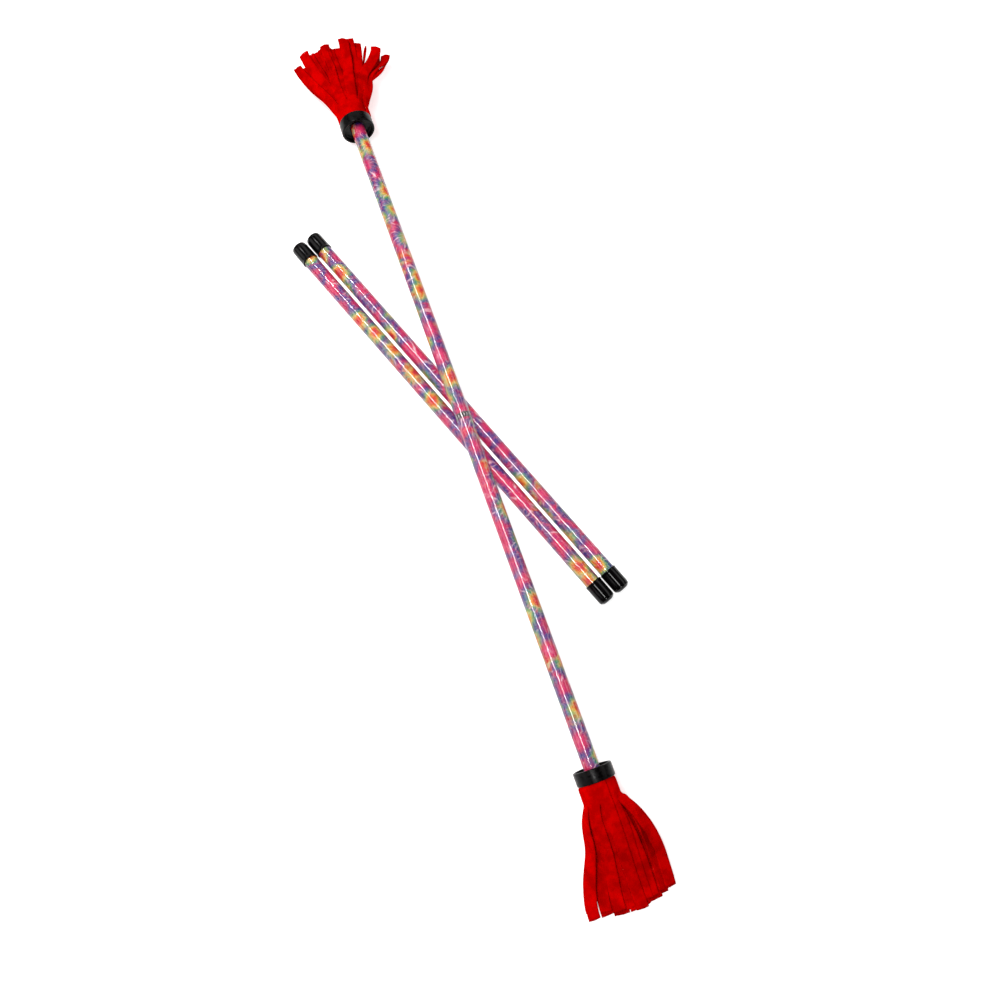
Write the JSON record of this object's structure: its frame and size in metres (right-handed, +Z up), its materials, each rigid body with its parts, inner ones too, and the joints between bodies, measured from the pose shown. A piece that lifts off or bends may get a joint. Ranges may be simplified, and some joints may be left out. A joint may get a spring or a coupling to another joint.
{
  "type": "devil stick set",
  "caption": "Juggling baton with a fringed suede tassel at each end, lying across a pair of capped hand sticks; all in tie-dye film under clear sleeves.",
  "frame": {"origin": "centre of the whole set's box, on the ground it lies on", "axes": "+Y along the baton towards its far tassel, +Z up from the ground, +X to the right"},
  "size_m": [0.173, 0.804, 0.036],
  "materials": {
    "dowel_wood": "plain sanded hardwood",
    "printed_film": "film printed with a many-coloured tie-dye pattern",
    "clear_vinyl": "clear, smooth and glossy",
    "band_tape": "dark grey with pale chevrons",
    "black_rubber": "satin moulded rubber",
    "black_vinyl": "high gloss dipped vinyl",
    "red_suede": "soft napped suede"
  },
  "bodies": {
    "left_hand_stick": {"left_stick_wood_core": "dowel_wood", "left_stick_print_wrap": "printed_film", "left_stick_clear_sleeve": "clear_vinyl", "left_stick_far_cap": "black_vinyl", "left_stick_near_cap": "black_vinyl"},
    "right_hand_stick": {"right_stick_wood_core": "dowel_wood", "right_stick_print_wrap": "printed_film", "right_stick_clear_sleeve": "clear_vinyl", "right_stick_far_cap": "black_vinyl", "right_stick_near_cap": "black_vinyl"},
    "baton": {"baton_wood_core": "dowel_wood", "baton_print_wrap": "printed_film", "baton_clear_sleeve": "clear_vinyl", "baton_centre_band": "band_tape", "far_rubber_collar": "black_rubber", "far_suede_roll": "red_suede", "near_rubber_collar": "black_rubber", "near_suede_roll": "red_suede"},
    "far_fringe": {"far_suede_fringe": "red_suede"},
    "near_fringe": {"near_suede_fringe": "red_suede"}
  },
  "joints": [
    {"name": "baton_lift", "type": "slide", "parent": "left_hand_stick", "child": "baton", "axis": [0, 0, 1], "range_m": [0, 0.25]},
    {"name": "right_stick_apart", "type": "slide", "parent": "left_hand_stick", "child": "right_hand_stick", "axis": [0.9367, 0.3502, 0], "range_m": [0, 0.05]},
    {"name": "far_fringe_swing", "type": "hinge", "parent": "baton", "child": "far_fringe", "pos_m": [0.0058, 0.32, 0.02075], "axis": [0, 0, 1], "range_deg": [-20, 20]},
    {"name": "near_fringe_swing", "type": "hinge", "parent": "baton", "child": "near_fringe", "pos_m": [0.0058, -0.32, 0.02075], "axis": [0, 0, 1], "range_deg": [-20, 20]}
  ]
}
